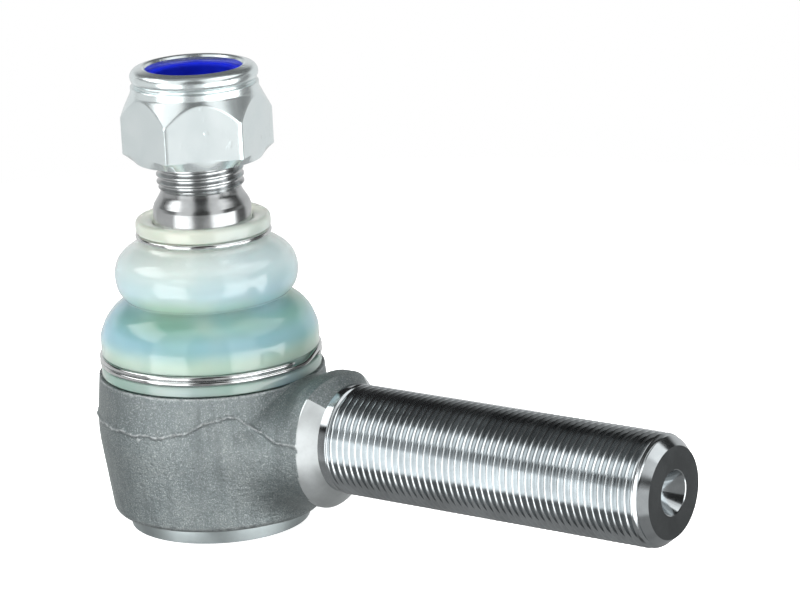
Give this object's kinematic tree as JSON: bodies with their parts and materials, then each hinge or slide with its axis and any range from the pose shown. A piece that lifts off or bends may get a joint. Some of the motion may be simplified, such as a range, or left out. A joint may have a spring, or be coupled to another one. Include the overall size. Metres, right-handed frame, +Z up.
{
  "type": "tie rod end",
  "caption": "Angled tie rod end: forged socket with a threaded shank, tapered ball stud, ribbed sealing boot with wire rings and a self-locking hex nut.",
  "frame": {"origin": "centre of the flat rim the socket stands on, on the stud's axis", "axes": "+X along the threaded shank away from the ball, +Z up the ball stud towards its nut, +Y completes a right-handed frame"},
  "size_m": [0.18, 0.064, 0.1279],
  "materials": {
    "forged_steel": "shot-blasted forging, turned shank",
    "cover_steel": "pressed sheet",
    "seal_rubber": "smooth",
    "spring_steel": "oiled",
    "plate_steel": "ground",
    "bearing_plastic": "moulded acetal",
    "ground_steel": "ground and turned",
    "boot_rubber": "translucent polyurethane",
    "ring_wire": "bright plated wire",
    "zinc_plate": "bright zinc plate",
    "blue_nylon": "smooth"
  },
  "bodies": {
    "housing": {"housing": "forged_steel", "closure_cover": "cover_steel", "cover_seal": "seal_rubber", "disc_spring": "spring_steel", "upper_bearing_shell": "bearing_plastic", "dust_boot": "boot_rubber", "boot_clamp_ring": "ring_wire"},
    "ball_seat": {"lower_bearing_shell": "bearing_plastic", "pressure_plate": "plate_steel"},
    "boot_neck": {"boot_neck_ring": "ring_wire"},
    "stud": {"ball_stud": "ground_steel"},
    "nut_carriage": {"nylon_insert": "blue_nylon"},
    "nut": {"lock_nut": "zinc_plate"}
  },
  "joints": [
    {"name": "swing_direction", "type": "hinge", "parent": "housing", "child": "ball_seat", "pos_m": [0, 0, 0.029], "axis": [0, 0, 1], "continuous": true},
    {"name": "stud_swing", "type": "hinge", "parent": "ball_seat", "child": "boot_neck", "pos_m": [0, 0, 0.029], "axis": [0, 1, 0], "range_deg": [-20, 20], "deforming": ["dust_boot"]},
    {"name": "stud_spin", "type": "hinge", "parent": "boot_neck", "child": "stud", "pos_m": [0, 0, 0.029], "axis": [0, 0, 1], "continuous": true},
    {"name": "nut_travel", "type": "slide", "parent": "stud", "child": "nut_carriage", "axis": [0, 0, 1], "range_m": [0, 0.02]},
    {"name": "nut_turn", "type": "hinge", "parent": "nut_carriage", "child": "nut", "pos_m": [0, 0, 0.115], "axis": [0, 0, 1], "range_deg": [0, 3600]}
  ],
  "couplings": [
    {"joint": "nut_turn", "follows": "nut_travel", "rad_per_m": 3141.6}
  ]
}
